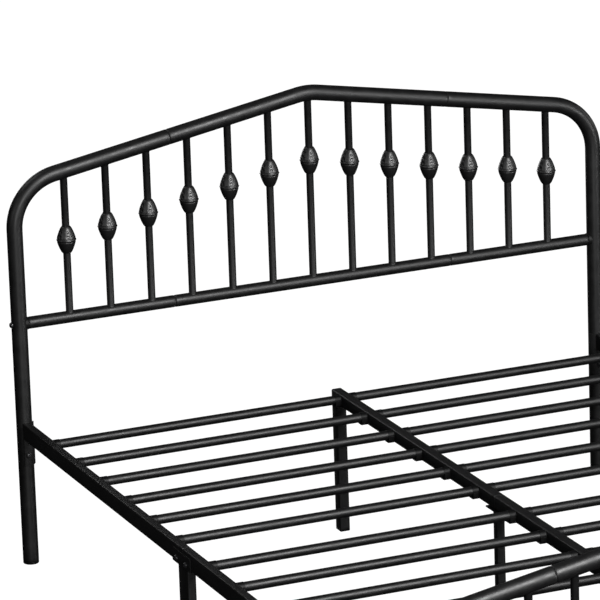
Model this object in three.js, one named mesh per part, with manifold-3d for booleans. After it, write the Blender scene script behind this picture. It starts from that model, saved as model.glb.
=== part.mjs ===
// Victorian style metal platform bed for a 60 x 80 in mattress, in millimetres, +Z up.
// X runs across the bed, Y from the footboard (-Y) to the headboard (+Y). The origin is on
// the floor under the middle of the frame. Everything is bolted or slipped together:
//   - two gable boards, each of two bent posts, a middle top tube and three spindle racks
//   - two side rails and one centre rail, each in two halves joined at mid length
//   - twelve rows of round slats, each row in two halves that meet at the centre rail
//   - five support legs, and a plastic glide under every post and leg
import * as THREE from 'three';
import { mergeVertices } from 'three/addons/utils/BufferGeometryUtils.js';
import Module from 'manifold-3d';

const wasm = await Module();
wasm.setup();

// ---------------------------------------------------------------- driving dimensions
const GAP = 0.3; // clearance between pieces that touch
const POST_X = 752.5; // post axis to the middle of the bed
const BOARD_Y = 1032; // plane of the headboard and of the footboard
const TUBE_R = 19; // posts and top tubes, 38 mm tube
const TUBE_WALL = 1.2;
const HEAD_CORNER_Z = 927; // where the post axis and the sloping axis would cross
const FOOT_CORNER_Z = 478;
const GABLE = THREE.MathUtils.degToRad(10); // slope of the top tubes
const CORNER_BEND_R = 125; // centreline radius of the post's bend
const PEAK_BEND_R = 150;
const JOINT_X = 360; // slip joints of the top tube and the cross rail
const SPIGOT = 34; // how far a swaged end goes into its neighbour

const CROSS_DROP = 334; // cross rail axis below the corner
const CROSS_R = 14.5;
const CROSS_WALL = 1.2;
const SPINDLE_R = 9;
const SPINDLE_WALL = 1.2;
const SPINDLE_PITCH = 104.2;
const SIDE_SPINDLES = [4, 5, 6]; // pitches from the middle
const MIDDLE_SPINDLES = [-3, -2, -1, 0, 1, 2, 3];
const BEAD_DROP = 167; // bead centre below the top tube's axis
const BEAD_R = 24; // at the middle ridge
const BEAD_HALF = 32; // half height
const BEAD_SHOULDER = [12, 19]; // height above the ridge, and radius
const BEAD_NECK_R = 11;

const SADDLE_R = 15.5; // spacer between post and cross rail
const SADDLE_REACH = 21; // its flat face, from the post axis
const BOLT_R = 7; // dome head
const BOLT_H = 5;
const BOLT_HOLE_R = 4.5;

const RAIL_W = 20; // side rail, rectangular tube
const RAIL_H = 40;
const RAIL_TOP = 348;
const RAIL_WALL = 1.2;
const TONGUE = 40; // sleeve of one half inside the other
const PLATE_T = 3; // curved end plate of the side rail, round the post
const PLATE_EDGE_Y = 6; // its inner edge, from the post axis along the rail
const PLATE_BOTTOM = 249;
const PLATE_BOLT_Z = 275;
const CENTER_W = 25; // centre rail, rectangular tube
const CENTER_H = 30;
const CENTER_HEAD_Y = 912;
const CENTER_FOOT_Y = -932;

const SLAT_R = 11;
const SLAT_WALL = 1;
const SLAT_Z = RAIL_TOP - 7; // slat axis
const SLAT_PITCH = 155.5;
const FIRST_HEAD_SLAT = 863;
const FIRST_FOOT_SLAT = -108;
const SLATS_PER_HALF = 6;
const CRADLE_L = 16; // slat cradle, out from the rail
const CRADLE_W = 28;
const HOOD_T = 1.2; // the cradle's hood over the slat's end
const CRADLE_BOTTOM = 327;
const CENTER_CRADLE_BOTTOM = 322;

const GLIDE_H = 6; // plastic glide that shows under a post or leg
const PLUG_H = 22; // its plug inside the tube
const SIDE_LEG = [RAIL_W, 55];
const END_LEG = [25, 30];
const MIDDLE_LEG = [20, 20];
const LEG_WALL = 1.5;
const BRACKET_L = 104; // U bracket over the side rail joint
const BRACKET_T = 3;
const BRACKET_BOLT_Y = 27.5; // each side of the joint
const BRACKET_BOLT_Z = 324;
const MIDDLE_PLATE_L = 90; // plate on the middle leg, under the centre rail's joint

// ---------------------------------------------------------------- materials
function paint(color, roughness, metalness) {
  return new THREE.MeshStandardMaterial({ color, roughness, metalness });
}

const blackSteel = () => paint(0x16161a, 0.38, 0.35);
const blackCast = () => paint(0x121215, 0.45, 0.3);
const blackPlastic = () => paint(0x0c0c0e, 0.6, 0);

// ---------------------------------------------------------------- solids
function solid(geometry) {
  const bare = geometry.index ? geometry.toNonIndexed() : geometry.clone();
  bare.deleteAttribute('normal');
  bare.deleteAttribute('uv');
  const merged = mergeVertices(bare, 1e-4);
  const index = merged.index.array;
  const kept = [];
  for (let i = 0; i < index.length; i += 3) {
    const [a, b, c] = [index[i], index[i + 1], index[i + 2]];
    if (a !== b && b !== c && c !== a) kept.push(a, b, c);
  }
  return new wasm.Manifold(new wasm.Mesh({
    numProp: 3,
    vertProperties: new Float32Array(merged.attributes.position.array),
    triVerts: new Uint32Array(kept),
  }));
}

function geometryOf(body) {
  const mesh = body.getMesh();
  const geometry = new THREE.BufferGeometry();
  geometry.setAttribute('position', new THREE.BufferAttribute(new Float32Array(mesh.vertProperties), 3));
  geometry.setIndex(new THREE.BufferAttribute(new Uint32Array(mesh.triVerts), 1));
  const faceted = geometry.toNonIndexed();
  faceted.computeVertexNormals();
  return faceted;
}

function union(bodies) {
  return bodies.reduce((whole, body) => whole.add(body));
}

function boxSolid(x0, x1, y0, y1, z0, z1) {
  const geometry = new THREE.BoxGeometry(x1 - x0, y1 - y0, z1 - z0);
  geometry.translate((x0 + x1) / 2, (y0 + y1) / 2, (z0 + z1) / 2);
  return solid(geometry);
}

// A round bar along one axis, from its start point over a signed length.
function rodSolid(axis, start, length, radius, sides = 12, endRadius = radius) {
  const geometry = new THREE.CylinderGeometry(endRadius, radius, Math.abs(length), sides);
  geometry.translate(0, Math.abs(length) / 2, 0);
  if (axis === 'x') geometry.rotateZ(length > 0 ? -Math.PI / 2 : Math.PI / 2);
  if (axis === 'y' && length < 0) geometry.rotateX(Math.PI);
  if (axis === 'z') geometry.rotateX(length > 0 ? Math.PI / 2 : -Math.PI / 2);
  geometry.translate(...start);
  return solid(geometry);
}

// A low dome bolt head that stands on a face.
function boltSolid(axis, start, out) {
  const sign = Math.sign(out);
  const base = rodSolid(axis, start, out + sign * 0.5 * BOLT_H, BOLT_R, 10);
  const at = start.map((v, i) => v + ('xyz'[i] === axis ? out + sign * 0.5 * BOLT_H : 0));
  return base.add(rodSolid(axis, at, sign * 0.5 * BOLT_H, BOLT_R, 10, 0.55 * BOLT_R));
}

// A path through given points: a section is set at every point, square to the mean direction.
class PointPath extends THREE.Curve {
  constructor(points) {
    super();
    this.points = points;
  }

  getPoint(t, target = new THREE.Vector3()) {
    const last = this.points.length - 1;
    const at = Math.min(Math.max(t, 0), 1) * last;
    const i = Math.min(Math.floor(at), last - 1);
    return target.copy(this.points[i]).lerp(this.points[i + 1], at - i);
  }

  getPointAt(u, target) {
    return this.getPoint(u, target);
  }

  getTangentAt(u, target = new THREE.Vector3()) {
    const last = this.points.length - 1;
    const i = Math.round(u * last);
    target.set(0, 0, 0);
    if (i > 0) target.add(this.points[i].clone().sub(this.points[i - 1]).normalize());
    if (i < last) target.add(this.points[i + 1].clone().sub(this.points[i]).normalize());
    return target.normalize();
  }

  getSpacedPoints() {
    return this.points.map((p) => p.clone());
  }
}

function roundSection(radius, sides) {
  const corners = [];
  for (let i = 0; i < sides; i++) {
    const angle = (2 * Math.PI * i) / sides;
    corners.push(new THREE.Vector2(radius * Math.cos(angle), radius * Math.sin(angle)));
  }
  return new THREE.Shape(corners);
}

function sweptSolid(points, radius, sides = 12) {
  const geometry = new THREE.ExtrudeGeometry(roundSection(radius, sides), {
    steps: points.length - 1,
    curveSegments: 1,
    bevelEnabled: false,
    extrudePath: new PointPath(points),
  });
  return solid(geometry);
}

// Points of an arc in the XZ plane, by angle from +X toward +Z.
function arcPoints(cx, cz, radius, from, to, steps) {
  const points = [];
  for (let i = 0; i <= steps; i++) {
    const angle = THREE.MathUtils.lerp(from, to, i / steps);
    points.push(new THREE.Vector3(cx + radius * Math.cos(angle), 0, cz + radius * Math.sin(angle)));
  }
  return points;
}

function extended(points, before, after) {
  const list = points.map((p) => p.clone());
  const first = list[0].clone().sub(list[1]).normalize().multiplyScalar(before);
  const last = list[list.length - 1].clone().sub(list[list.length - 2]).normalize().multiplyScalar(after);
  list[0].add(first);
  list[list.length - 1].add(last);
  return list;
}

// ---------------------------------------------------------------- board tubes
// Board coordinates: X across, Y = 0 in the board's plane, Z = 0 on the corner's level.
const slopeZ = (x) => (POST_X - Math.abs(x)) * Math.tan(GABLE);

// Centreline of the left post, from its foot up round the corner and along the slope.
function postPath(cornerZ) {
  const tangent = CORNER_BEND_R * Math.tan((Math.PI / 2 - GABLE) / 2);
  const foot = new THREE.Vector3(-POST_X, 0, GLIDE_H + GAP - cornerZ);
  const bend = arcPoints(-POST_X + CORNER_BEND_R, -tangent, CORNER_BEND_R, Math.PI, Math.PI / 2 + GABLE, 6);
  const endX = -JOINT_X - GAP / 2;
  return [foot, ...bend, new THREE.Vector3(endX, 0, slopeZ(endX))];
}

// Centreline of the middle top tube with its bend at the peak.
function peakPath() {
  const endX = JOINT_X - GAP / 2;
  const centreZ = slopeZ(0) - PEAK_BEND_R / Math.cos(GABLE);
  const bend = arcPoints(0, centreZ, PEAK_BEND_R, Math.PI / 2 + GABLE, Math.PI / 2 - GABLE, 2);
  return [new THREE.Vector3(-endX, 0, slopeZ(endX)), ...bend, new THREE.Vector3(endX, 0, slopeZ(endX))];
}

function postSolid(cornerZ) {
  const path = postPath(cornerZ);
  const bolt = boltSolid('x', [-POST_X - TUBE_R + 2, 0, -CROSS_DROP], -2);
  const bore = sweptSolid(extended(path, 5, 5), TUBE_R - TUBE_WALL);
  return sweptSolid(path, TUBE_R).add(bolt).subtract(bore);
}

function topMiddleSolid() {
  const path = peakPath();
  const spigotR = TUBE_R - TUBE_WALL - 2 * GAP;
  const outer = sweptSolid(path, TUBE_R).add(sweptSolid(extended(path, SPIGOT, SPIGOT), spigotR));
  return outer.subtract(sweptSolid(extended(path, SPIGOT + 5, SPIGOT + 5), spigotR - TUBE_WALL));
}

function beadSolid(x, z) {
  const half = [[0, BEAD_R], BEAD_SHOULDER, [BEAD_HALF, BEAD_NECK_R]];
  const side = [...half.slice(1).reverse().map(([h, r]) => [-h, r]), ...half];
  const profile = [[-BEAD_HALF, 0], ...side, [BEAD_HALF, 0]].map(([h, r]) => new THREE.Vector2(r, h));
  const geometry = new THREE.LatheGeometry(profile, 8);
  geometry.rotateX(Math.PI / 2);
  geometry.translate(x, 0, z);
  return solid(geometry);
}

// One cross rail section with its spindles and beads, coped under the top tube.
function rackSolid(x0, x1, spindles, topTube, spigots) {
  const z = -CROSS_DROP;
  const outers = [rodSolid('x', [x0, 0, z], x1 - x0, CROSS_R)];
  const bores = [];
  if (spigots) {
    const r = CROSS_R - CROSS_WALL - 2 * GAP;
    outers.push(rodSolid('x', [x0 - SPIGOT, 0, z], x1 - x0 + 2 * SPIGOT, r));
    bores.push(rodSolid('x', [x0 - SPIGOT - 5, 0, z], x1 - x0 + 2 * SPIGOT + 10, r - CROSS_WALL));
  } else {
    bores.push(rodSolid('x', [x0 - 5, 0, z], x1 - x0 + 10, CROSS_R - CROSS_WALL));
  }
  for (const step of spindles) {
    const x = step * SPINDLE_PITCH;
    const top = slopeZ(x);
    outers.push(rodSolid('z', [x, 0, z], top - z, SPINDLE_R, 8));
    outers.push(beadSolid(x, top - BEAD_DROP));
    bores.push(rodSolid('z', [x, 0, z + CROSS_R + 4], top - z, SPINDLE_R - SPINDLE_WALL, 6));
  }
  return union(outers).subtract(topTube).subtract(union(bores));
}

function saddleSolid() {
  const block = rodSolid('x', [-POST_X, 0, -CROSS_DROP], SADDLE_REACH, SADDLE_R);
  const post = rodSolid('z', [-POST_X, 0, -CROSS_DROP - 40], 80, TUBE_R + GAP);
  const hole = rodSolid('x', [-POST_X, 0, -CROSS_DROP], SADDLE_REACH + 5, BOLT_HOLE_R, 8);
  return block.subtract(post).subtract(hole);
}

// ---------------------------------------------------------------- rails, legs and slats
function cradleSolid(faceX, y, toward, bottom = CRADLE_BOTTOM) {
  const [x0, x1] = [faceX - toward, faceX + toward * CRADLE_L].sort((a, b) => a - b);
  const block = boxSolid(x0, x1, y - CRADLE_W / 2, y + CRADLE_W / 2, bottom, SLAT_Z);
  const hood = rodSolid('x', [faceX - toward, y, SLAT_Z], toward * (CRADLE_L + 1), SLAT_R + GAP + HOOD_T);
  const seat = rodSolid('x', [faceX + toward * 0.01, y, SLAT_Z], toward * (CRADLE_L + 5), SLAT_R + GAP);
  return block.add(hood).subtract(seat);
}

function slatRows(first) {
  return Array.from({ length: SLATS_PER_HALF }, (_, i) => first - i * SLAT_PITCH);
}

const HEAD_ROWS = slatRows(FIRST_HEAD_SLAT);
const FOOT_ROWS = slatRows(FIRST_FOOT_SLAT);

// Left side rail, one half. end is +1 for the headboard's half and -1 for the footboard's.
function sideRailSolid(end) {
  const half = RAIL_W / 2;
  const plateOuter = BOARD_Y - TUBE_R - GAP;
  const z0 = RAIL_TOP - RAIL_H;
  const yBox = (a, b) => [a, b].map((v) => v * end).sort((p, q) => p - q);
  const tube = boxSolid(-half, half, ...yBox(GAP / 2, plateOuter - 0.2), z0, RAIL_TOP);
  const foot = [0, end * BOARD_Y, PLATE_BOTTOM];
  const height = RAIL_TOP - PLATE_BOTTOM;
  const sleeve = rodSolid('z', foot, height, TUBE_R + GAP + PLATE_T, 24).subtract(
    rodSolid('z', foot, height, TUBE_R + GAP),
  );
  const wrap = yBox(BOARD_Y - 2 * TUBE_R, BOARD_Y - PLATE_EDGE_Y);
  const plate = sleeve.intersect(boxSolid(-half, 2 * TUBE_R, ...wrap, PLATE_BOTTOM, RAIL_TOP));
  const bolt = boltSolid('y', [0, end * (plateOuter - PLATE_T + 2), PLATE_BOLT_Z], -2 * end);
  const cradles = (end > 0 ? HEAD_ROWS : FOOT_ROWS).map((y) => cradleSolid(half, y, 1));
  let rail = union([tube, plate, bolt, ...cradles]);
  const w = half - RAIL_WALL;
  const h0 = z0 + RAIL_WALL;
  const h1 = RAIL_TOP - RAIL_WALL;
  if (end > 0) return rail.subtract(boxSolid(-w, w, ...yBox(-5, plateOuter - 8), h0, h1));
  const [tw, t0, t1] = [w - GAP, h0 + GAP, h1 - GAP];
  rail = rail.add(boxSolid(-tw, tw, ...yBox(-TONGUE, 20), t0, t1));
  const b = RAIL_WALL;
  return rail.subtract(boxSolid(b - tw, tw - b, ...yBox(-TONGUE - 5, plateOuter - 8), t0 + b, t1 - b));
}

function centerRailSolid(end) {
  const half = CENTER_W / 2;
  const z0 = RAIL_TOP - CENTER_H;
  const outer = end > 0 ? CENTER_HEAD_Y : -CENTER_FOOT_Y;
  const yBox = (a, b) => [a, b].map((v) => v * end).sort((p, q) => p - q);
  const rows = end > 0 ? HEAD_ROWS : FOOT_ROWS;
  const pair = (y) => [1, -1].map((way) => cradleSolid(way * half, y, way, CENTER_CRADLE_BOTTOM));
  const cradles = rows.flatMap(pair);
  let rail = union([boxSolid(-half, half, ...yBox(GAP / 2, outer), z0, RAIL_TOP), ...cradles]);
  const w = half - RAIL_WALL;
  const h0 = z0 + RAIL_WALL;
  const h1 = RAIL_TOP - RAIL_WALL;
  if (end > 0) return rail.subtract(boxSolid(-w, w, ...yBox(-5, outer - 3), h0, h1));
  const [tw, t0, t1] = [w - GAP, h0 + GAP, h1 - GAP];
  rail = rail.add(boxSolid(-tw, tw, ...yBox(-TONGUE, 20), t0, t1));
  const b = RAIL_WALL;
  return rail.subtract(boxSolid(b - tw, tw - b, ...yBox(-TONGUE - 5, outer - 3), t0 + b, t1 - b));
}

// A rectangular leg tube with an open bottom for its glide.
function legTube([w, l], top) {
  const tube = boxSolid(-w / 2, w / 2, -l / 2, l / 2, GLIDE_H + GAP, top);
  const [iw, il] = [w / 2 - LEG_WALL, l / 2 - LEG_WALL];
  return tube.subtract(boxSolid(-iw, iw, -il, il, 0, top - 3));
}

// Side support leg: a U bracket holds the rail joint from below, the leg is welded under it.
function sideLegSolid() {
  const inner = RAIL_W / 2 + GAP;
  const outer = inner + BRACKET_T;
  const half = BRACKET_L / 2;
  const seat = RAIL_TOP - RAIL_H - GAP;
  const floor = boxSolid(-outer, outer, -half, half, seat - BRACKET_T, seat);
  const wallOut = boxSolid(-outer, -inner, -half, half, seat - 8, RAIL_TOP - 4);
  const wallIn = boxSolid(inner, outer, -half, half, seat - 8, CRADLE_BOTTOM - 4);
  const boltAt = (y) => boltSolid('x', [-outer + 1, y, BRACKET_BOLT_Z], -1);
  const bolts = [-BRACKET_BOLT_Y, BRACKET_BOLT_Y].map(boltAt);
  return union([floor, wallOut, wallIn, ...bolts, legTube(SIDE_LEG, seat - 1)]);
}

function centerLegSolid(size, plateL) {
  const top = RAIL_TOP - CENTER_H - GAP;
  const plate = boxSolid(-CENTER_W / 2, CENTER_W / 2, -plateL / 2, plateL / 2, top - BRACKET_T, top);
  return plate.add(legTube(size, top - 1));
}

function legGlideSolid([w, l]) {
  const pad = boxSolid(-w / 2, w / 2, -l / 2, l / 2, 0, GLIDE_H);
  const [pw, pl] = [w / 2 - LEG_WALL - GAP, l / 2 - LEG_WALL - GAP];
  return pad.add(boxSolid(-pw, pw, -pl, pl, GLIDE_H - 1, PLUG_H));
}

function postGlideGeometry() {
  const plugR = TUBE_R - TUBE_WALL - 2;
  const profile = [[0, 0], [TUBE_R, 0], [TUBE_R, GLIDE_H], [plugR, GLIDE_H], [plugR, PLUG_H], [0, PLUG_H]];
  const geometry = new THREE.LatheGeometry(profile.map(([r, z]) => new THREE.Vector2(r, z)), 12);
  geometry.rotateX(Math.PI / 2);
  return geometryOf(solid(geometry));
}

function slatSolid() {
  const x0 = -POST_X + RAIL_W / 2 + GAP;
  const x1 = -CENTER_W / 2 - GAP;
  const tube = rodSolid('x', [x0, 0, 0], x1 - x0, SLAT_R);
  return tube.subtract(rodSolid('x', [x0 - 5, 0, 0], x1 - x0 + 10, SLAT_R - SLAT_WALL));
}

// ---------------------------------------------------------------- scene graph
const bed = new THREE.Group();

function place(parent, name, geometry, material, position = [0, 0, 0], turned = false) {
  const mesh = new THREE.Mesh(geometry, material);
  mesh.name = name;
  mesh.position.set(...position);
  if (turned) mesh.rotation.z = Math.PI;
  parent.add(mesh);
  return mesh;
}

function board(name, cornerZ, y) {
  const group = new THREE.Group();
  group.position.set(0, y, cornerZ);
  bed.add(group);
  const post = geometryOf(postSolid(cornerZ));
  const postClear = sweptSolid(postPath(cornerZ), TUBE_R + GAP);
  const peakClear = sweptSolid(extended(peakPath(), 2, 2), TUBE_R + GAP);
  const endX = -POST_X + SADDLE_REACH + GAP;
  const leftSpindles = SIDE_SPINDLES.map((n) => -n);
  const sideRack = geometryOf(rackSolid(endX, -JOINT_X - GAP / 2, leftSpindles, postClear, false));
  const span = JOINT_X - GAP / 2;
  const middleRack = geometryOf(rackSolid(-span, span, MIDDLE_SPINDLES, peakClear, true));
  const saddle = geometryOf(saddleSolid());
  const glide = postGlideGeometry();
  for (const [side, turned] of [['left', false], ['right', true]]) {
    place(group, `${name}_post_${side}`, post, blackSteel(), [0, 0, 0], turned);
    place(group, `${name}_rack_${side}`, sideRack, blackCast(), [0, 0, 0], turned);
    place(group, `${name}_saddle_${side}`, saddle, blackPlastic(), [0, 0, 0], turned);
    place(group, `${name}_glide_${side}`, glide, blackPlastic(), [turned ? POST_X : -POST_X, 0, -cornerZ]);
  }
  place(group, `${name}_top_middle`, geometryOf(topMiddleSolid()), blackSteel());
  place(group, `${name}_rack_middle`, middleRack, blackCast());
}

board('headboard', HEAD_CORNER_Z, BOARD_Y);
board('footboard', FOOT_CORNER_Z, -BOARD_Y);

// A right half rail is the left one of the same end, mirrored across the bed.
function mirroredX(body) {
  const mesh = body.getMesh();
  const vertices = new Float32Array(mesh.vertProperties);
  for (let i = 0; i < vertices.length; i += 3) vertices[i] *= -1;
  const triangles = new Uint32Array(mesh.triVerts);
  for (let i = 0; i < triangles.length; i += 3) {
    [triangles[i], triangles[i + 1]] = [triangles[i + 1], triangles[i]];
  }
  return new wasm.Manifold(new wasm.Mesh({ numProp: 3, vertProperties: vertices, triVerts: triangles }));
}

const deck = new THREE.Group();
bed.add(deck);
for (const [end, endName, rows] of [[1, 'head', HEAD_ROWS], [-1, 'foot', FOOT_ROWS]]) {
  const rail = sideRailSolid(end);
  place(deck, `side_rail_left_${endName}`, geometryOf(rail), blackSteel(), [-POST_X, 0, 0]);
  place(deck, `side_rail_right_${endName}`, geometryOf(mirroredX(rail)), blackSteel(), [POST_X, 0, 0]);
  place(deck, `center_rail_${endName}`, geometryOf(centerRailSolid(end)), blackSteel());
  const slat = geometryOf(slatSolid());
  rows.forEach((y, i) => {
    const number = String(end > 0 ? i + 1 : i + 1 + SLATS_PER_HALF).padStart(2, '0');
    place(deck, `slat_${number}_left`, slat, blackSteel(), [0, y, SLAT_Z]);
    place(deck, `slat_${number}_right`, slat, blackSteel(), [0, y, SLAT_Z], true);
  });
}

const supports = new THREE.Group();
bed.add(supports);
const sideLeg = geometryOf(sideLegSolid());
place(supports, 'side_leg_left', sideLeg, blackSteel(), [-POST_X, 0, 0]);
place(supports, 'side_leg_right', sideLeg, blackSteel(), [POST_X, 0, 0], true);
const sideGlide = geometryOf(legGlideSolid(SIDE_LEG));
place(supports, 'side_leg_glide_left', sideGlide, blackPlastic(), [-POST_X, 0, 0]);
place(supports, 'side_leg_glide_right', sideGlide, blackPlastic(), [POST_X, 0, 0]);
const endInset = END_LEG[1] / 2;
for (const [name, size, y, plateL] of [
  ['head', END_LEG, CENTER_HEAD_Y - endInset, END_LEG[1]],
  ['middle', MIDDLE_LEG, 0, MIDDLE_PLATE_L],
  ['foot', END_LEG, CENTER_FOOT_Y + endInset, END_LEG[1]],
]) {
  place(supports, `center_leg_${name}`, geometryOf(centerLegSolid(size, plateL)), blackSteel(), [0, y, 0]);
  place(supports, `center_leg_glide_${name}`, geometryOf(legGlideSolid(size)), blackPlastic(), [0, y, 0]);
}

export default bed;
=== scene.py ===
"""A black metal platform bed frame, in metres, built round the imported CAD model.

Smooth pieces replace every CAD node in its place: round and rectangular tubes with real walls and
eased mouths, spindles coped and welded to their rails, cast collars, bent brackets, slat cradles,
dome bolts and moulded glides. +Z is up and +Y points to the headboard.
"""

import math

import bmesh
import bpy
from mathutils import Matrix, Vector


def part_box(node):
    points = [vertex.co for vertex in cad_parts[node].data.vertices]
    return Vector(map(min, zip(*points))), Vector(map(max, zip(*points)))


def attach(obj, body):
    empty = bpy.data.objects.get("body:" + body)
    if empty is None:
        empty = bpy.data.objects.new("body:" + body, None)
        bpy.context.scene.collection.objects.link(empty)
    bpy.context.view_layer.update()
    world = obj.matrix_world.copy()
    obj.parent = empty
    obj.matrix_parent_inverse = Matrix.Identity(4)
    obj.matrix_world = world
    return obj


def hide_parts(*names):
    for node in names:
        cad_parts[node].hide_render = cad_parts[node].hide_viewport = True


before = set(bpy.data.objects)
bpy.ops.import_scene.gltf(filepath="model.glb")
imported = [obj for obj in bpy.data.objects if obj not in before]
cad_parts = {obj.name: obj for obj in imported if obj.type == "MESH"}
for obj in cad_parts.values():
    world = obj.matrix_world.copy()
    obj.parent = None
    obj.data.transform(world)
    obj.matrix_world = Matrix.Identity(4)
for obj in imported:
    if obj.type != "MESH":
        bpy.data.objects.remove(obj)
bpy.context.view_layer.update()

MM = 0.001
X, Y, Z = Vector((1, 0, 0)), Vector((0, 1, 0)), Vector((0, 0, 1))

# ---------------------------------------------------------------- driving dimensions
# What the CAD has too is equal to it, except where a comment gives the CAD's own value.
GAP = 0.3 * MM  # between pieces that touch
POST_X = 752.5 * MM
TUBE_R = 19 * MM
TUBE_WALL = 1.2 * MM
CORNER_Z = {"headboard": 927 * MM, "footboard": 478 * MM}
BOARD_Y = {"headboard": 1032 * MM, "footboard": -1032 * MM}
GABLE = math.radians(10)
CORNER_BEND_R = 125 * MM
PEAK_BEND_R = 150 * MM
JOINT_X = 360 * MM
SPIGOT = 34 * MM
CROSS_DROP = 334 * MM
CROSS_R = 14.5 * MM
SPINDLE_R = 9 * MM
SPINDLE_PITCH = 104.2 * MM
SIDE_SPINDLES = (4, 5, 6)
MIDDLE_SPINDLES = (-3, -2, -1, 0, 1, 2, 3)
COLLAR_DROP = 167 * MM
COLLAR_HALF = 32 * MM
COLLAR_R = 23.1 * MM  # without the ridge's bead, which brings it to just under the CAD's 24
COLLAR_NECK_R = 10.7 * MM  # the CAD's is 11
SADDLE_R = 15.5 * MM
SADDLE_REACH = 21 * MM
BOLT_R = 7 * MM
BOLT_H = 5 * MM
RAIL_W = 20 * MM
RAIL_H = 40 * MM
RAIL_WALL = 1.2 * MM
RAIL_CORNER_R = 2.2 * MM
PLATE_T = 3 * MM
PLATE_EDGE_Y = 6 * MM
PLATE_BOTTOM = 249 * MM
PLATE_BOLT_Z = 275 * MM
CENTER_W = 25 * MM
CENTER_H = 30 * MM
CENTER_CORNER_R = 2.5 * MM
END_CAP_T = 1.2 * MM  # closes the centre rail's outer end; the CAD's is 3
TONGUE_OUT = 38 * MM  # sleeve of a foot half, out into the head half; the CAD's is 40
TONGUE_ROOT = 30 * MM  # and back inside its own half; the CAD's is 20
SLAT_WALL = 1 * MM
CRADLE_L = 16 * MM
CRADLE_HALF = 14 * MM
CRADLE_SEAT_R = 11.25 * MM  # the slat lies in it; the CAD's is 11.3
CRADLE_CORNER = 6 * MM
CENTER_CRADLE_DROP = 16.4 * MM  # a centre rail cradle, below the slat's axis; the CAD's is 19
HOOD_T = 0.7 * MM  # moulded thinner than the CAD's 1.2
GLIDE_H = 6 * MM
PLUG_H = 22 * MM
LEG_WALL = 1.5 * MM
BRACKET_T = 3 * MM
BRACKET_BOLT_Y = 27.5 * MM
BRACKET_BOLT_Z = 324 * MM
BRACKET_STEP = 21 * MM  # the bracket's inner flank is lower than its outer one by this
SIDE_LEG_LENGTH = 55 * MM
END_LEG = (25 * MM, 30 * MM)
MIDDLE_LEG = (20 * MM, 20 * MM)
# How far a bolt's head is let into the round post, and into the curved end plate. The CAD's bolts
# go deeper, to join the solids.
POST_BOLT_SINK = 0.4 * MM
PLATE_BOLT_SINK = 1.1 * MM
LIP = 2.2 * MM  # length of a round tube's eased mouth
SEAM_LIP = 1.8 * MM  # the same at a rail's end
EDGE_BEVEL = 0.4 * MM  # on the cradles and brackets
PLATE_BEVEL = 0.7 * MM
ROUND = 48  # sides of a round tube
SLATS_PER_HALF = 6

RAIL_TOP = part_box("side_rail_left_head")[1].z
SLAT_ROWS = {n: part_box(f"slat_{n:02d}_left") for n in range(1, 2 * SLATS_PER_HALF + 1)}


# ---------------------------------------------------------------- camera, floor and light
EYE = Vector((-4.456, -9.629, 3.919))
CAMERA_YAW = math.radians(22.517)  # from +Y towards +X
CAMERA_PITCH = math.radians(-16.280)
CAMERA_ROLL = math.radians(-1.944)
CAMERA_LENS = 299.84
ROOM_STRENGTH = 0.010  # the dim room that black paint reflects
FLOOR_HALF = 60
FLOOR_GLOW = 1.16
FLOOR_MATT_SHARE = 0.12  # the part of the floor's look that takes shadows
AIM = Vector((0, 0, 0.5))  # the point that the softboxes face
# name, azimuth and elevation in degrees, distance, width and height in metres, power in watts
SOFTBOXES = (
    ("key", 9, 33, 6.5, 1.8, 2.6, 450),
    ("panel_left", -19, 5, 7, 1.0, 3.0, 140),
    ("panel_right", 46, 5, 7, 1.0, 3.0, 155),
    ("fill_left", -72, 15, 8, 5, 3, 45),
    ("top", 180, 60, 7, 6, 6, 9),
    ("back", 184, 6, 8, 1.6, 3, 110),
    ("back_high", 228, 50, 8, 3, 3, 60),
    ("fill_right", 98, 12, 9, 3, 3, 60),
)


def make_camera():
    forward = Vector((
        math.sin(CAMERA_YAW) * math.cos(CAMERA_PITCH),
        math.cos(CAMERA_YAW) * math.cos(CAMERA_PITCH),
        math.sin(CAMERA_PITCH),
    ))
    level = Vector((math.cos(CAMERA_YAW), -math.sin(CAMERA_YAW), 0))
    right = level * math.cos(CAMERA_ROLL) + level.cross(forward) * math.sin(CAMERA_ROLL)
    up = right.cross(forward)
    data = bpy.data.cameras.new("camera")
    data.lens = CAMERA_LENS
    data.clip_end = 100
    camera = bpy.data.objects.new("camera", data)
    camera.matrix_world = Matrix.Translation(EYE) @ Matrix((right, up, -forward)).transposed().to_4x4()
    bpy.context.scene.collection.objects.link(camera)
    bpy.context.scene.camera = camera


def toward(azimuth, elevation):
    """The direction of a light: azimuth 0 is -Y, 90 is +X, in degrees."""
    a, e = math.radians(azimuth), math.radians(elevation)
    return Vector((math.sin(a) * math.cos(e), -math.cos(a) * math.cos(e), math.sin(e)))


def softbox(name, azimuth, elevation, distance, width, height, power):
    data = bpy.data.lights.new(name, "AREA")
    data.shape = "RECTANGLE"
    data.size = width
    data.size_y = height
    data.energy = power
    lamp = bpy.data.objects.new(name, data)
    direction = toward(azimuth, elevation)
    lamp.location = AIM + direction * distance
    lamp.rotation_mode = "QUATERNION"
    lamp.rotation_quaternion = direction.to_track_quat("Z", "Y")
    lamp.visible_camera = False
    bpy.context.scene.collection.objects.link(lamp)


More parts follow.
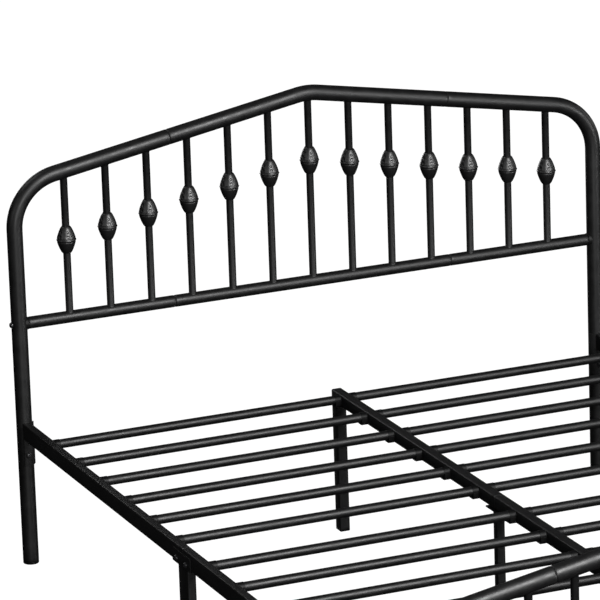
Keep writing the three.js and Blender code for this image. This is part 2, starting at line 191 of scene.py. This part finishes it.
def make_world():
    """White behind the object, and a dim room in what its paint reflects."""
    world = bpy.data.worlds.new("studio")
    bpy.context.scene.world = world
    world.use_nodes = True
    nodes, links = world.node_tree.nodes, world.node_tree.links
    nodes.clear()
    output = nodes.new("ShaderNodeOutputWorld")
    mix = nodes.new("ShaderNodeMixShader")
    room = nodes.new("ShaderNodeBackground")
    room.inputs["Color"].default_value = (1, 1, 1, 1)
    room.inputs["Strength"].default_value = ROOM_STRENGTH
    backdrop = nodes.new("ShaderNodeBackground")
    backdrop.inputs["Color"].default_value = (1, 1, 1, 1)
    backdrop.inputs["Strength"].default_value = 1.0
    path = nodes.new("ShaderNodeLightPath")
    links.new(path.outputs["Is Camera Ray"], mix.inputs["Fac"])
    links.new(room.outputs[0], mix.inputs[1])
    links.new(backdrop.outputs[0], mix.inputs[2])
    links.new(mix.outputs[0], output.inputs["Surface"])


def make_floor():
    material = bpy.data.materials.new("floor_white")
    material.use_nodes = True
    nodes, links = material.node_tree.nodes, material.node_tree.links
    nodes.clear()
    output = nodes.new("ShaderNodeOutputMaterial")
    mix = nodes.new("ShaderNodeMixShader")
    mix.inputs["Fac"].default_value = FLOOR_MATT_SHARE
    glow = nodes.new("ShaderNodeEmission")
    glow.inputs["Color"].default_value = (1, 1, 1, 1)
    glow.inputs["Strength"].default_value = FLOOR_GLOW
    matt = nodes.new("ShaderNodeBsdfDiffuse")
    matt.inputs["Color"].default_value = (0.85, 0.85, 0.85, 1)
    links.new(glow.outputs[0], mix.inputs[1])
    links.new(matt.outputs[0], mix.inputs[2])
    links.new(mix.outputs[0], output.inputs["Surface"])
    mesh = bpy.data.meshes.new("floor")
    half = FLOOR_HALF
    corners = [(-half, -half, 0), (half, -half, 0), (half, half, 0), (-half, half, 0)]
    mesh.from_pydata(corners, [], [(0, 1, 2, 3)])
    mesh.materials.append(material)
    floor = bpy.data.objects.new("floor", mesh)
    bpy.context.scene.collection.objects.link(floor)
    floor.visible_glossy = False
    floor.visible_diffuse = False


make_camera()
bpy.context.scene.view_settings.view_transform = "Standard"
make_world()
make_floor()
for softbox_values in SOFTBOXES:
    softbox(*softbox_values)


# ---------------------------------------------------------------- materials
def paint(name, base, roughness, specular, grain, depth, spread=0.06, wear=0.35, metallic=0.0):
    """Sprayed or moulded black: fine orange peel, uneven gloss, faint dust and worn edges."""
    material = bpy.data.materials.new(name)
    material.use_nodes = True
    nodes, links = material.node_tree.nodes, material.node_tree.links
    shader = nodes["Principled BSDF"]
    shader.inputs["Metallic"].default_value = metallic
    shader.inputs["Specular IOR Level"].default_value = specular
    place = nodes.new("ShaderNodeTexCoord")

    def noise(scale, detail):
        node = nodes.new("ShaderNodeTexNoise")
        node.inputs["Scale"].default_value = scale
        node.inputs["Detail"].default_value = detail
        links.new(place.outputs["Object"], node.inputs["Vector"])
        return node.outputs["Fac"]

    def ranged(value, low, high, to_low, to_high):
        node = nodes.new("ShaderNodeMapRange")
        node.inputs["From Min"].default_value = low
        node.inputs["From Max"].default_value = high
        node.inputs["To Min"].default_value = to_low
        node.inputs["To Max"].default_value = to_high
        links.new(value, node.inputs["Value"])
        return node.outputs["Result"]

    def blend(factor, first, second):
        node = nodes.new("ShaderNodeMix")
        node.data_type = "RGBA"
        links.new(factor, node.inputs["Factor"])
        for socket, colour in ((node.inputs["A"], first), (node.inputs["B"], second)):
            if isinstance(colour, tuple):
                socket.default_value = (*colour, 1)
            else:
                links.new(colour, socket)
        return node.outputs["Result"]

    shade = ranged(noise(9, 3), 0.35, 0.65, 0, 1)
    body = blend(shade, tuple(0.75 * c for c in base), tuple(1.3 * c for c in base))
    geometry = nodes.new("ShaderNodeNewGeometry")
    edge = ranged(geometry.outputs["Pointiness"], 0.54, 0.66, 0, wear)
    links.new(blend(edge, body, tuple(c + 0.02 for c in base)), shader.inputs["Base Color"])
    gloss = ranged(noise(45, 4), 0.3, 0.7, roughness - spread, roughness + spread)
    links.new(gloss, shader.inputs["Roughness"])
    bump = nodes.new("ShaderNodeBump")
    bump.inputs["Strength"].default_value = 0.35
    bump.inputs["Distance"].default_value = depth
    links.new(noise(grain, 2), bump.inputs["Height"])
    links.new(bump.outputs["Normal"], shader.inputs["Normal"])
    return material


# name, base colour, roughness, specular, grain scale, grain depth, then gloss spread, wear, metallic
TUBE_PAINT = paint("black_tube_paint", (0.0028, 0.0028, 0.0030), 0.45, 0.6, 850, 0.05 * MM)
ROD_PAINT = paint("black_rod_paint", (0.0024, 0.0024, 0.0026), 0.47, 0.38, 850, 0.05 * MM)
RAIL_PAINT = paint("black_rail_paint", (0.0066, 0.0066, 0.0069), 0.52, 0.36, 850, 0.05 * MM)
CAST_PAINT = paint("black_cast_paint", (0.0024, 0.0024, 0.0026), 0.42, 1.0, 600, 0.02 * MM, 0.03)
BOLT_BLACK = paint("black_bolt_steel", (0.05, 0.05, 0.052), 0.34, 0.5, 1400, 0.02 * MM, 0.05, 0.5, 0.6)
PLASTIC = paint("black_plastic_grain", (0.0014, 0.0014, 0.0015), 0.50, 0.27, 1100, 0.06 * MM, 0.05, 0.1)


# ---------------------------------------------------------------- mesh tools
def loft(bm, loops, wrap=False):
    """Joins equal loops with quads, and closes the ends, or wraps the last loop to the first."""
    rows = [[bm.verts.new(point) for point in loop] for loop in loops]
    pairs = list(zip(rows, rows[1:]))
    if wrap:
        pairs.append((rows[-1], rows[0]))
    count = len(rows[0])
    for a, b in pairs:
        for i in range(count):
            j = (i + 1) % count
            bm.faces.new((a[i], a[j], b[j], b[i]))
    if not wrap:
        bm.faces.new(list(reversed(rows[0])))
        bm.faces.new(rows[-1])


def ring(centre, e1, e2, radius, sides=ROUND):
    angles = [2 * math.pi * i / sides for i in range(sides)]
    return [centre + (e1 * math.cos(a) + e2 * math.sin(a)) * radius for a in angles]


def rounded_rect(width, height, corner, steps=4):
    """Points of a rectangle with round corners about the origin, anticlockwise."""
    points = []
    for quarter, (sx, sy) in enumerate(((1, 1), (-1, 1), (-1, -1), (1, -1))):
        cx, cy = sx * (width / 2 - corner), sy * (height / 2 - corner)
        for i in range(steps + 1):
            a = (quarter + i / steps) * math.pi / 2
            points.append((cx + corner * math.cos(a), cy + corner * math.sin(a)))
    return points


def arc(cx, cy, radius, start, end, steps):
    """Points of an arc in a plane, with angles in degrees."""
    angles = [math.radians(start + (end - start) * i / steps) for i in range(steps + 1)]
    return [(cx + radius * math.cos(a), cy + radius * math.sin(a)) for a in angles]


def piece(name, bm, material, slot, *nodes, bevel=0.0, sharp=38):
    """Turns a bmesh into a smooth shaded object that rides on the frame."""
    bmesh.ops.recalc_face_normals(bm, faces=bm.faces)
    mesh = bpy.data.meshes.new(name)
    bm.to_mesh(mesh)
    bm.free()
    mesh.materials.append(material)
    mesh.polygons.foreach_set("use_smooth", [True] * len(mesh.polygons))
    mesh.set_sharp_from_angle(angle=math.radians(sharp))
    made = bpy.data.objects.new(name, mesh)
    bpy.context.scene.collection.objects.link(made)
    if bevel:
        modifier = made.modifiers.new("edges", "BEVEL")
        modifier.width = bevel
        modifier.segments = 2
        modifier.limit_method = "ANGLE"
        modifier.angle_limit = math.radians(40)
        modifier.harden_normals = True
    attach(made, "root")
    if nodes:
        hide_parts(*nodes)
    return made


def path_frames(path):
    """(point, tangent, in-plane normal) at each point of a path in an XZ plane."""
    frames = []
    for i, point in enumerate(path):
        tangent = Vector((0, 0, 0))
        if i > 0:
            tangent += (point - path[i - 1]).normalized()
        if i < len(path) - 1:
            tangent += (path[i + 1] - point).normalized()
        tangent.normalize()
        frames.append((point, tangent, tangent.cross(Y)))
    return frames


def round_tube(bm, path, radius, wall, spigots=(0, 0), sides=ROUND):
    """A hollow round tube along a path in an XZ plane, with eased mouths.

    A spigot is a swaged end that goes on inside the next tube by that length."""
    frames = path_frames(path)

    def station(at, shift, r):
        point, tangent, normal = at
        return ring(point + tangent * shift, Y, normal, r, sides)

    first, last = frames[0], frames[-1]
    slim = radius - wall - 2 * GAP
    loops = []
    if spigots[0]:
        loops.append(station(first, -spigots[0], slim - 0.5 * MM))
        loops.append(station(first, 1 * MM - spigots[0], slim))
        loops.append(station(first, -GAP, slim))
    mouth = ((0.0, 1.0), (0.34, 0.6), (0.68, 0.18), (1.0, 0.0))  # shares of LIP and of the drop
    drop = min(LIP, wall)
    loops += [station(first, LIP * s, radius - drop * r) for s, r in mouth]
    loops.append(station(first, 4 * LIP, radius))
    loops += [station(at, 0, radius) for at in frames[1:-1]]
    loops.append(station(last, -4 * LIP, radius))
    loops += [station(last, -LIP * s, radius - drop * r) for s, r in reversed(mouth)]
    if spigots[1]:
        loops += [station(last, GAP, slim), station(last, spigots[1] - 1 * MM, slim)]
        loops += [station(last, spigots[1], slim - 0.5 * MM)]
    bore = (slim if spigots[0] or spigots[1] else radius) - wall
    loops.append(station(last, spigots[1], bore))
    loops += [station(at, 0, bore) for at in reversed(frames[1:-1])]
    loops.append(station(first, -spigots[0], bore))
    loft(bm, loops, wrap=True)


def rect_bar(bm, place, width, height, corner, start, end, wall=None, edge=0.6 * MM):
    """A bar with a round cornered section. place(u, v, s) gives a point; start < end along s."""
    def section(inset, s, thick=0.0):
        w, h = width - 2 * (inset + thick), height - 2 * (inset + thick)
        r = max(corner - inset - thick, 0.25 * MM)
        return [place(u, v, s) for u, v in rounded_rect(w, h, r)]

    loops = [section(edge, start), section(0.3 * edge, start + 0.3 * edge), section(0, start + edge)]
    if end - start > 10 * edge:
        loops += [section(0, start + 4 * edge), section(0, end - 4 * edge)]
    loops += [section(0, end - edge), section(0.3 * edge, end - 0.3 * edge), section(edge, end)]
    if wall:
        loops += [section(0, end, wall), section(0, start, wall)]
    loft(bm, loops, wrap=bool(wall))


def prism(bm, outline, place, start, end):
    loft(bm, [[place(u, v, s) for u, v in outline] for s in (start, end)])


def dome_bolt(bm, centre, direction, radius=BOLT_R, height=BOLT_H):
    """A button head with a hexagon socket, its flat under-face at centre."""
    e1 = Z if abs(direction.z) < 0.5 else X
    e2 = direction.cross(e1)
    sides = 36

    def level(r, h, hexagon=False):
        points = []
        for i in range(sides):
            a = 2 * math.pi * i / sides
            reach = r / math.cos((a + math.pi / 6) % (math.pi / 3) - math.pi / 6) if hexagon else r
            points.append(centre + direction * h + (e1 * math.cos(a) + e2 * math.sin(a)) * reach)
        return points

    dome = [(1.0, -0.2), (1.0, 0.12), (0.985, 0.3), (0.93, 0.52)]  # shares of the radius and height
    dome += [(0.83, 0.72), (0.7, 0.87), (0.56, 0.96)]
    loops = [level(r * radius, h * height) for r, h in dome]
    loops += [level(0.36 * radius, height, True), level(0.32 * radius, 0.95 * height, True)]
    loops += [level(0.31 * radius, 0.45 * height, True)]
    loft(bm, loops)


# ---------------------------------------------------------------- headboard and footboard
def slope_z(x):
    """Height of the sloping axis above the corner's level."""
    return (POST_X - abs(x)) * math.tan(GABLE)


def board_point(board, x, z):
    """A point in the board's plane, z above its corner level."""
    return Vector((x, BOARD_Y[board], CORNER_Z[board] + z))


def post_path(board, side):
    """From the foot up round the corner and along the slope; side is -1 left, +1 right."""
    reach = CORNER_BEND_R * math.tan((math.pi / 2 - GABLE) / 2)
    end_x = JOINT_X + GAP / 2
    path = [board_point(board, side * POST_X, GLIDE_H + GAP - CORNER_Z[board])]
    path.append(board_point(board, side * POST_X, -reach - 60 * MM))
    steps = 24
    for i in range(steps + 1):
        a = math.pi - (math.pi / 2 - GABLE) * i / steps
        x = -POST_X + CORNER_BEND_R + CORNER_BEND_R * math.cos(a)
        path.append(board_point(board, -side * x, CORNER_BEND_R * math.sin(a) - reach))
    path.append(board_point(board, side * end_x, slope_z(end_x)))
    return path


PEAK_CENTRE_Z = slope_z(0) - PEAK_BEND_R / math.cos(GABLE)


def peak_path(board):
    end_x = JOINT_X - GAP / 2
    path = [board_point(board, -end_x, slope_z(end_x))]
    steps = 8
    for i in range(steps + 1):
        a = math.pi / 2 + GABLE * (1 - 2 * i / steps)
        z = PEAK_CENTRE_Z + PEAK_BEND_R * math.sin(a)
        path.append(board_point(board, PEAK_BEND_R * math.cos(a), z))
    path.append(board_point(board, end_x, slope_z(end_x)))
    return path


def top_tube_underside(x, y):
    """Height of the top tube's lower surface above the corner level, y from the board's plane."""
    drop = math.sqrt(max(TUBE_R**2 - y**2, 0))
    if abs(x) < PEAK_BEND_R * math.sin(GABLE):
        return PEAK_CENTRE_Z + math.sqrt((PEAK_BEND_R - drop) ** 2 - x**2)
    return slope_z(x) - drop / math.cos(GABLE)


def cross_rail_topside(y):
    return math.sqrt(CROSS_R**2 - y**2) - CROSS_DROP


def make_post(board, side, word):
    bm = bmesh.new()
    round_tube(bm, post_path(board, side), TUBE_R, TUBE_WALL)
    piece(f"{board}_{word}_post_tube", bm, TUBE_PAINT, "black_tube", f"{board}_post_{word}")
    bm = bmesh.new()
    seat = board_point(board, side * (POST_X + TUBE_R - POST_BOLT_SINK), -CROSS_DROP)
    dome_bolt(bm, seat, X * side, BOLT_R, BOLT_H + POST_BOLT_SINK)
    piece(f"{board}_{word}_rail_bolt", bm, BOLT_BLACK, "black_casting")


def make_saddle(board, side, word):
    """A spacer with a hollow back that fits the post and a flat face for the cross rail."""
    bm = bmesh.new()
    lip = 0.9 * MM
    bolt_hole = 5 * MM
    sides = 48

    def level(radius, depth, on_post):
        loop = []
        for i in range(sides):
            a = 2 * math.pi * i / sides
            y, z = radius * math.cos(a), radius * math.sin(a)
            reach = math.sqrt((TUBE_R + 0.05 * MM) ** 2 - y * y) if on_post else SADDLE_REACH - depth
            loop.append(board_point(board, side * (POST_X - reach), z - CROSS_DROP) + Y * y)
        return loop

    loops = [level(bolt_hole, 0, True), level(SADDLE_R, 0, True), level(SADDLE_R, lip, False)]
    loops += [level(SADDLE_R - 0.3 * MM, 0.4 * lip, False), level(SADDLE_R - lip, 0, False)]
    loops += [level(bolt_hole, 0, False)]
    loft(bm, loops)
    piece(f"{board}_{word}_saddle_moulded", bm, PLASTIC, "black_plastic", f"{board}_saddle_{word}")


def post_glide(board, side, word):
    bm = bmesh.new()
    foot = Vector((side * POST_X, BOARD_Y[board], 0))
    plug = TUBE_R - TUBE_WALL - 2 * MM
    profile = [(TUBE_R - 2.2 * MM, 0), (TUBE_R - 0.9 * MM, 0.4 * MM), (TUBE_R - 0.2 * MM, 1.3 * MM),
               (TUBE_R, 2.4 * MM), (TUBE_R, GLIDE_H - 0.6 * MM), (TUBE_R - 0.5 * MM, GLIDE_H),
               (plug, GLIDE_H), (plug, PLUG_H)]
    loft(bm, [ring(foot + Z * z, X, Y, r) for r, z in profile])
    piece(f"{board}_{word}_foot_glide", bm, PLASTIC, "black_plastic", f"{board}_glide_{word}")


def spindle(bm, board, x):
    """A spindle between the cross rail and the top tube, coped and welded at both ends."""
    flare = [(1.1, 0.0), (0.7, 0.25), (0.25, 0.7), (0.0, 1.3)]  # weld radius and rise, mm
    sides = 24

    def rim(extra, rise, surface, way):
        loop = []
        for i in range(sides):
            a = 2 * math.pi * i / sides
            dx, dy = (SPINDLE_R + extra) * math.cos(a), (SPINDLE_R + extra) * math.sin(a)
            z = surface(x + dx, dy) + way * rise
            loop.append(board_point(board, x + dx, z) + Y * dy)
        return loop

    def bottom(_, y):
        return cross_rail_topside(y) - 0.2 * MM

    def top(px, y):
        return top_tube_underside(px, y) + 0.2 * MM

    loops = [rim(extra * MM, rise * MM, bottom, 1) for extra, rise in flare]
    loops += [rim(extra * MM, rise * MM, top, -1) for extra, rise in reversed(flare)]
    loft(bm, loops)


def rack(board, name, node, x0, x1, spigots, steps):
    bm = bmesh.new()
    ends = [board_point(board, x0, -CROSS_DROP), board_point(board, x1, -CROSS_DROP)]
    round_tube(bm, ends, CROSS_R, RAIL_WALL, spigots, 40)
    piece(f"{node}_rail", bm, TUBE_PAINT, "black_casting", node)

    bm = bmesh.new()
    for step in steps:
        spindle(bm, board, step * SPINDLE_PITCH)
    piece(name, bm, ROD_PAINT, "black_casting")


# The cast collar: a fat double cone with a beaded ridge and columns of oval pits in its upper half.
COLLAR_SECTORS = 6
COLLAR_ROWS = 80
COLLAR_SIDES = 144
COLLAR_TURN = math.radians(-7)
COLLAR_CORE_R = SPINDLE_R - 0.5 * MM  # where its end faces stop, inside the spindle
SWELL, FULLNESS = 1.3, 0.8  # exponents that turn the straight cone into a fuller one
RIDGE_H = 0.8 * MM
GROOVE_DEPTH = 0.7 * MM
GROOVE_AT = 3.4 * MM  # above and below the ridge
RELIEF_SPREAD = 1.1 * MM  # width of the ridge's bead and of the grooves
PIT_DEPTH = 1.3 * MM
PIT_EDGE = 8  # steepness of a pit's edge
PITS = ((9.2, 3.0, 3.6), (20.0, 2.6, 2.4))  # height above the ridge, half height and half width in mm


def collar_radius(angle, h):
    """Radius of the collar at an angle and a height h from its ridge, with its relief."""
    t = abs(h) / COLLAR_HALF
    plain = COLLAR_NECK_R + (COLLAR_R - COLLAR_NECK_R) * max(1 - t ** SWELL, 0) ** FULLNESS
    sector = (angle * COLLAR_SECTORS / (2 * math.pi) + 0.5) % 1 - 0.5
    across = sector * 2 * math.pi / COLLAR_SECTORS * plain
    relief = 0.0
    for height, tall, wide in PITS:
        distance = math.hypot(across / (wide * MM), (h - height * MM) / (tall * MM))
        relief -= PIT_DEPTH / (1 + math.exp(PIT_EDGE * (distance - 1)))
    relief += RIDGE_H * math.exp(-((h / RELIEF_SPREAD) ** 2))
    relief -= GROOVE_DEPTH * math.exp(-(((abs(h) - GROOVE_AT) / RELIEF_SPREAD) ** 2))
    return plain + relief


def collars(board, name, steps):
    bm = bmesh.new()
    for step in steps:
        x = step * SPINDLE_PITCH
        centre = board_point(board, x, slope_z(x) - COLLAR_DROP)
        loops = [ring(centre - Z * COLLAR_HALF, X, Y, COLLAR_CORE_R, COLLAR_SIDES)]
        for row in range(COLLAR_ROWS + 1):
            h = COLLAR_HALF * (2 * row / COLLAR_ROWS - 1)
            loop = []
            for i in range(COLLAR_SIDES):
                a = 2 * math.pi * i / COLLAR_SIDES
                r = collar_radius(a + math.pi / 2 - COLLAR_TURN, h)
                loop.append(centre + Z * h + (X * math.cos(a) + Y * math.sin(a)) * r)
            loops.append(loop)
        loops.append(ring(centre + Z * COLLAR_HALF, X, Y, COLLAR_CORE_R, COLLAR_SIDES))
        loft(bm, loops)
    piece(name, bm, CAST_PAINT, "black_casting", sharp=60)


def make_board(board):
    for side, word in ((-1, "left"), (1, "right")):
        make_post(board, side, word)
        make_saddle(board, side, word)
        post_glide(board, side, word)
        inner, outer = JOINT_X + GAP / 2, POST_X - SADDLE_REACH - GAP
        x0, x1 = sorted((side * inner, side * outer))
        steps = [side * n for n in SIDE_SPINDLES]
        rack(board, f"{board}_{word}_spindles", f"{board}_rack_{word}", x0, x1, (0, 0), steps)
        collars(board, f"{board}_{word}_collars", steps)
    bm = bmesh.new()
    round_tube(bm, peak_path(board), TUBE_R, TUBE_WALL, (SPIGOT, SPIGOT))
    piece(f"{board}_peak_tube", bm, TUBE_PAINT, "black_tube", f"{board}_top_middle")
    span = JOINT_X - GAP / 2
    ends = (SPIGOT, SPIGOT)
    rack(board, f"{board}_middle_spindles", f"{board}_rack_middle", -span, span, ends, MIDDLE_SPINDLES)
    collars(board, f"{board}_middle_collars", MIDDLE_SPINDLES)


for board_name in CORNER_Z:
    make_board(board_name)


# ---------------------------------------------------------------- deck
def cradle(bm, face_x, way, y, z, bottom):
    """A moulded cup with a thin hood that holds a slat's end, standing out from a rail's face."""
    seat = CRADLE_SEAT_R
    hood = seat + HOOD_T
    corner = CRADLE_CORNER
    outline = [(CRADLE_HALF, 0), (seat, 0)]
    outline += arc(0, 0, seat, 0, -180, 20)[1:-1]
    outline += [(-seat, 0), (-CRADLE_HALF, 0)]
    outline += arc(-CRADLE_HALF + corner, corner - bottom, corner, 180, 270, 5)
    outline += arc(CRADLE_HALF - corner, corner - bottom, corner, 270, 360, 5)
    arch = arc(0, 0, hood, -4, 184, 22) + list(reversed(arc(0, 0, seat, -4, 184, 22)))
    for shape in (outline, arch):
        prism(bm, shape, lambda u, v, s: Vector((face_x + way * s, y + u, z + v)), 0.1 * MM, CRADLE_L)


def rows_of(end):
    first = 1 if end > 0 else 1 + SLATS_PER_HALF
    return range(first, first + SLATS_PER_HALF)


def side_rail(side, word, end, end_word):
    node = f"side_rail_{word}_{end_word}"
    plate_outer = BOARD_Y["headboard"] - TUBE_R - GAP
    centre_z = RAIL_TOP - RAIL_H / 2
    bm = bmesh.new()

    def along(u, v, s):
        return Vector((side * POST_X + u, end * s, centre_z + v))

    far = plate_outer - 0.2 * MM
    rect_bar(bm, along, RAIL_W, RAIL_H, RAIL_CORNER_R, GAP / 2, far, RAIL_WALL, SEAM_LIP)
    if end < 0:
        inner = (RAIL_W - 2 * RAIL_WALL - 2 * GAP, RAIL_H - 2 * RAIL_WALL - 2 * GAP)
        rect_bar(bm, along, *inner, 1.2 * MM, -TONGUE_OUT, TONGUE_ROOT, RAIL_WALL)
    piece(f"side_rail_{word}_{end_word}_tube", bm, RAIL_PAINT, "black_tube", node)

    bm = bmesh.new()
    bore = TUBE_R + GAP
    shell = bore + PLATE_T

    def round_post(u, v, s):
        return Vector((side * (POST_X - u), end * (BOARD_Y["headboard"] - v), s))

    def edges(radius):
        """Angles from the rail's direction to the outward and the inward edge of the plate."""
        outward = -math.degrees(math.asin(RAIL_W / 2 / radius))
        return outward, math.degrees(math.acos(PLATE_EDGE_Y / radius))

    outline = [(v, u) for u, v in arc(0, 0, shell, *edges(shell), 24)]
    outline += [(v, u) for u, v in reversed(arc(0, 0, bore, *edges(bore), 24))]
    prism(bm, outline, round_post, PLATE_BOTTOM, RAIL_TOP)
    piece(f"side_rail_{word}_{end_word}_plate", bm, RAIL_PAINT, "black_tube", node, bevel=PLATE_BEVEL)

    bm = bmesh.new()
    seat = Vector((side * POST_X, end * (plate_outer - PLATE_T + PLATE_BOLT_SINK), PLATE_BOLT_Z))
    dome_bolt(bm, seat, Y * -end, BOLT_R, BOLT_H + PLATE_BOLT_SINK)
    piece(f"side_rail_{word}_{end_word}_bolt", bm, BOLT_BLACK, "black_casting")

    bm = bmesh.new()
    for n in rows_of(end):
        low, high = SLAT_ROWS[n]
        centre = (low + high) / 2
        cradle(bm, side * (POST_X - RAIL_W / 2), -side, centre.y, centre.z, CRADLE_HALF)
    piece(f"side_rail_{word}_{end_word}_cradles", bm, PLASTIC, "black_plastic", bevel=EDGE_BEVEL)


def center_rail(end, end_word):
    node = f"center_rail_{end_word}"
    low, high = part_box(node)
    outer = high.y if end > 0 else -low.y
    bm = bmesh.new()

    def along(u, v, s):
        return Vector((u, end * s, RAIL_TOP - CENTER_H / 2 + v))

    cap = outer - END_CAP_T
    rect_bar(bm, along, CENTER_W, CENTER_H, CENTER_CORNER_R, GAP / 2, cap, RAIL_WALL, SEAM_LIP)
    rect_bar(bm, along, CENTER_W, CENTER_H, 3.0 * MM, cap, outer, None, 0.5 * MM)
    if end < 0:
        inner = (CENTER_W - 2 * RAIL_WALL - 2 * GAP, CENTER_H - 2 * RAIL_WALL - 2 * GAP)
        rect_bar(bm, along, *inner, 1.4 * MM, -TONGUE_OUT, TONGUE_ROOT, RAIL_WALL)
    piece(f"center_rail_{end_word}_tube", bm, RAIL_PAINT, "black_tube", node)

    bm = bmesh.new()
    for n in rows_of(end):
        box_low, box_high = SLAT_ROWS[n]
        centre = (box_low + box_high) / 2
        for way in (-1, 1):
            cradle(bm, way * CENTER_W / 2, way, centre.y, centre.z, CENTER_CRADLE_DROP)
    piece(f"center_rail_{end_word}_cradles", bm, PLASTIC, "black_plastic", bevel=EDGE_BEVEL)


def make_slats():
    for n in SLAT_ROWS:
        for word in ("left", "right"):
            low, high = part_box(f"slat_{n:02d}_{word}")
            centre = (low + high) / 2
            ends = [Vector((low.x, centre.y, centre.z)), Vector((high.x, centre.y, centre.z))]
            bm = bmesh.new()
            round_tube(bm, ends, (high.z - low.z) / 2, SLAT_WALL, sides=40)
            piece(f"slat_{n:02d}_{word}_tube", bm, TUBE_PAINT, "black_tube", f"slat_{n:02d}_{word}")


for end_sign, end_name in ((1, "head"), (-1, "foot")):
    side_rail(-1, "left", end_sign, end_name)
    side_rail(1, "right", end_sign, end_name)
    center_rail(end_sign, end_name)
make_slats()


# ---------------------------------------------------------------- support legs
def leg_glide(name, node, x, y, width, length):
    bm = bmesh.new()

    def section(inset, z, corner):
        points = rounded_rect(width - 2 * inset, length - 2 * inset, corner)
        return [Vector((x + u, y + v, z)) for u, v in points]

    plug = LEG_WALL + GAP
    loops = [section(1.6 * MM, 0, 2 * MM), section(0.5 * MM, 0.5 * MM, 2.4 * MM)]
    loops += [section(0, 1.6 * MM, 2.6 * MM)]
    loops += [section(0, GLIDE_H - 0.5 * MM, 2.6 * MM), section(0.5 * MM, GLIDE_H, 2.4 * MM)]
    loops += [section(plug, GLIDE_H, 1.2 * MM), section(plug, PLUG_H, 1.2 * MM)]
    loft(bm, loops)
    piece(name, bm, PLASTIC, "black_plastic", node)


def side_leg(side, word):
    node = f"side_leg_{word}"
    low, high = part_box(node)
    y = (low.y + high.y) / 2
    half = (high.y - low.y) / 2
    width, length = RAIL_W, SIDE_LEG_LENGTH
    inner = RAIL_W / 2 + GAP
    outer = inner + BRACKET_T
    seat = RAIL_TOP - RAIL_H - GAP
    outer_top, inner_top = high.z, high.z - BRACKET_STEP
    bend = 4 * MM
    bm = bmesh.new()

    def across(u, v, s):
        return Vector((side * (POST_X - u), y + s, v))

    outline = [(-outer, outer_top), (-outer, seat - BRACKET_T + bend)]
    outline += arc(bend - outer, seat - BRACKET_T + bend, bend, 180, 270, 5)[1:]
    outline += arc(outer - bend, seat - BRACKET_T + bend, bend, 270, 360, 5)
    outline += [(outer, inner_top), (inner, inner_top)]
    small = bend - BRACKET_T
    outline += arc(inner - small, seat + small, small, 0, -90, 3)
    outline += arc(small - inner, seat + small, small, 270, 180, 3)
    outline += [(-inner, outer_top)]
    prism(bm, outline, across, -half, half)
    piece(f"side_leg_{word}_bracket", bm, RAIL_PAINT, "black_tube", node, bevel=EDGE_BEVEL)

    bm = bmesh.new()

    def upright(u, v, s):
        return Vector((side * POST_X + u, y + v, s))

    top = seat - BRACKET_T + 0.3 * MM
    rect_bar(bm, upright, width, length, 2.6 * MM, GLIDE_H + GAP, top, LEG_WALL)
    piece(f"side_leg_{word}_tube", bm, RAIL_PAINT, "black_tube", node)

    for way, place in ((-1, "foot"), (1, "head")):
        bm = bmesh.new()
        centre = Vector((side * (POST_X + outer), y + way * BRACKET_BOLT_Y, BRACKET_BOLT_Z))
        dome_bolt(bm, centre, X * side)
        piece(f"side_leg_{word}_{place}_bolt", bm, BOLT_BLACK, "black_casting")
    glide = f"side_leg_glide_{word}"
    leg_glide(f"side_leg_{word}_glide_moulded", glide, side * POST_X, y, width, length)


def center_leg(place, width, length):
    node = f"center_leg_{place}"
    low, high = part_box(node)
    y = (low.y + high.y) / 2
    bm = bmesh.new()

    def upright(u, v, s):
        return Vector((u, y + v, s))

    plate = high.z - BRACKET_T
    rect_bar(bm, upright, width, length, 2.4 * MM, GLIDE_H + GAP, plate + 0.2 * MM, LEG_WALL)
    rect_bar(bm, upright, high.x - low.x, high.y - low.y, 2.6 * MM, plate, high.z)
    piece(f"center_leg_{place}_tube", bm, RAIL_PAINT, "black_tube", node)
    leg_glide(f"center_leg_{place}_glide_moulded", f"center_leg_glide_{place}", 0, y, width, length)


side_leg(-1, "left")
side_leg(1, "right")
center_leg("head", *END_LEG)
center_leg("middle", *MIDDLE_LEG)
center_leg("foot", *END_LEG)
